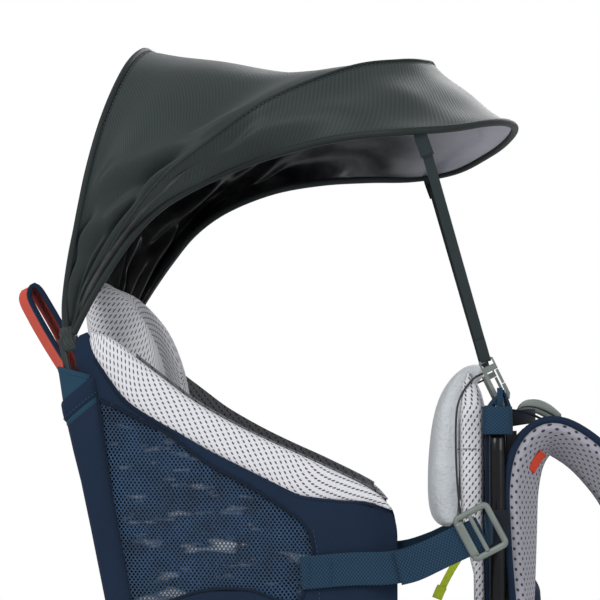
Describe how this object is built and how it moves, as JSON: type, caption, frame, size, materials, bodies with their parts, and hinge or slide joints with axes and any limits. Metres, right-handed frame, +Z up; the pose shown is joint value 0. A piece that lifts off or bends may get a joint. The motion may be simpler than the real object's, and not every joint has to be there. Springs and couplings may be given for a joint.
{
  "type": "baby carrier backpack",
  "caption": "Framed child carrier backpack with folding stand, seat, harness and a peaked fabric sun roof held by two straps.",
  "frame": {"origin": "on the ground, in the middle of the carrier's length and width", "axes": "+X the way the wearer faces, +Y the wearer's left, +Z up"},
  "size_m": [0.634, 0.386, 1.0134],
  "materials": {
    "black_tube": "glossy black powder coat",
    "rod_black": "black glass-fibre and coated wire",
    "plastic_grey": "grey-green moulded plastic",
    "plastic_black": "black moulded plastic",
    "rubber_black": "ribbed rubber",
    "navy_fabric": "navy woven polyester",
    "navy_mesh": "navy stretch mesh",
    "air_mesh": "pale grey perforated air mesh",
    "plush": "pale grey plush",
    "webbing_navy": "navy webbing",
    "webbing_black": "black webbing",
    "roof_fabric": "charcoal twill, dark coated inside",
    "red_webbing": "red webbing with navy binding",
    "pull_green": "yellow-green cord and tab",
    "zip_metal": "black zip slider"
  },
  "bodies": {
    "root": {"back_pad": "air_mesh", "back_panel": "plastic_black", "bag_zip_tape": "webbing_black", "child_harness_buckle": "plastic_grey", "child_harness_pads": "air_mesh", "child_harness_webbing": "webbing_black", "chin_pad": "plush", "corner_hubs": "plastic_black", "cross_tubes": "black_tube", "front_feet": "rubber_black", "front_liner": "air_mesh", "front_stay": "black_tube", "haul_loops": "red_webbing", "headrest": "air_mesh", "hook_loops": "webbing_navy", "lumbar_pad": "air_mesh", "pivot_pins": "black_tube", "pole_pockets": "navy_fabric", "rear_panel": "navy_fabric", "rear_stays": "black_tube", "rim_pads": "air_mesh", "seat_pull": "pull_green", "side_meshes": "navy_mesh", "side_panels": "navy_fabric", "side_rings": "plastic_grey", "side_straps": "webbing_navy", "stand_hubs": "plastic_black", "stay_cuffs": "webbing_navy", "stay_sleeves": "navy_fabric", "storage_bag": "navy_fabric"},
    "stand": {"stand_tube": "black_tube", "stand_eyes": "plastic_black", "stand_grips": "rubber_black"},
    "seat": {"seat_pad": "air_mesh"},
    "harness": {"harness_yoke": "navy_fabric", "shoulder_straps": "air_mesh", "harness_webbing": "webbing_black", "harness_fittings": "plastic_grey"},
    "sternum": {"sternum_strap": "webbing_navy", "sternum_buckle": "plastic_grey"},
    "fin_left": {"hip_fin_left": "air_mesh", "hip_web_left": "webbing_navy", "hip_buckle_plug": "plastic_grey"},
    "fin_right": {"hip_fin_right": "air_mesh", "hip_web_right": "webbing_navy", "hip_buckle_socket": "plastic_grey"},
    "stirrup_left": {"stirrup_left": "webbing_navy"},
    "stirrup_right": {"stirrup_right": "webbing_navy"},
    "zip": {"zip_slider": "zip_metal"},
    "roof": {"roof_rear_wire": "rod_black", "roof_mid_wire": "rod_black", "roof_rim_wire": "rod_black", "roof_top_panel": "roof_fabric", "roof_front_panel": "roof_fabric", "roof_rear_panel": "roof_fabric", "roof_gathers": "roof_fabric", "roof_straps": "webbing_black", "roof_hooks": "plastic_grey"},
    "gate_left": {"hook_gate_left": "plastic_grey"},
    "gate_right": {"hook_gate_right": "plastic_grey"}
  },
  "joints": [
    {"name": "stand_fold", "type": "hinge", "parent": "root", "child": "stand", "pos_m": [-0.1, 0, 0.227], "axis": [0, 1, 0], "range_deg": [-40, 0]},
    {"name": "seat_slide", "type": "slide", "parent": "root", "child": "seat", "axis": [0, 0, 1], "range_m": [0, 0.04]},
    {"name": "harness_slide", "type": "slide", "parent": "root", "child": "harness", "axis": [0, 0, 1], "range_m": [-0.06, 0]},
    {"name": "sternum_slide", "type": "slide", "parent": "harness", "child": "sternum", "axis": [0, 0, 1], "range_m": [-0.02, 0.02]},
    {"name": "fin_left_swing", "type": "hinge", "parent": "root", "child": "fin_left", "pos_m": [0.104, 0.092, 0.185], "axis": [0, 0, 1], "range_deg": [-5, 25]},
    {"name": "fin_right_swing", "type": "hinge", "parent": "root", "child": "fin_right", "pos_m": [0.104, -0.092, 0.185], "axis": [0, 0, 1], "range_deg": [-25, 5]},
    {"name": "stirrup_left_swing", "type": "hinge", "parent": "root", "child": "stirrup_left", "pos_m": [0.068, 0.132, 0.47], "axis": [0, 1, 0], "range_deg": [-25, 8]},
    {"name": "stirrup_right_swing", "type": "hinge", "parent": "root", "child": "stirrup_right", "pos_m": [0.068, -0.132, 0.47], "axis": [0, 1, 0], "range_deg": [-25, 8]},
    {"name": "bag_zip", "type": "slide", "parent": "root", "child": "zip", "axis": [0, 1, 0], "range_m": [0, 0.178]},
    {"name": "roof_lift", "type": "slide", "parent": "root", "child": "roof", "axis": [-0.1976, 0, 0.9803], "range_m": [0, 0.12]},
    {"name": "gate_left", "type": "hinge", "parent": "roof", "child": "gate_left", "pos_m": [0.08984, 0.108, 0.72945], "axis": [0, 1, 0], "range_deg": [0, 28], "stiffness_Nm_per_rad": 0.02, "springref_deg": -17.19},
    {"name": "gate_right", "type": "hinge", "parent": "roof", "child": "gate_right", "pos_m": [0.08984, -0.108, 0.72945], "axis": [0, 1, 0], "range_deg": [0, 28], "stiffness_Nm_per_rad": 0.02, "springref_deg": -17.19}
  ]
}
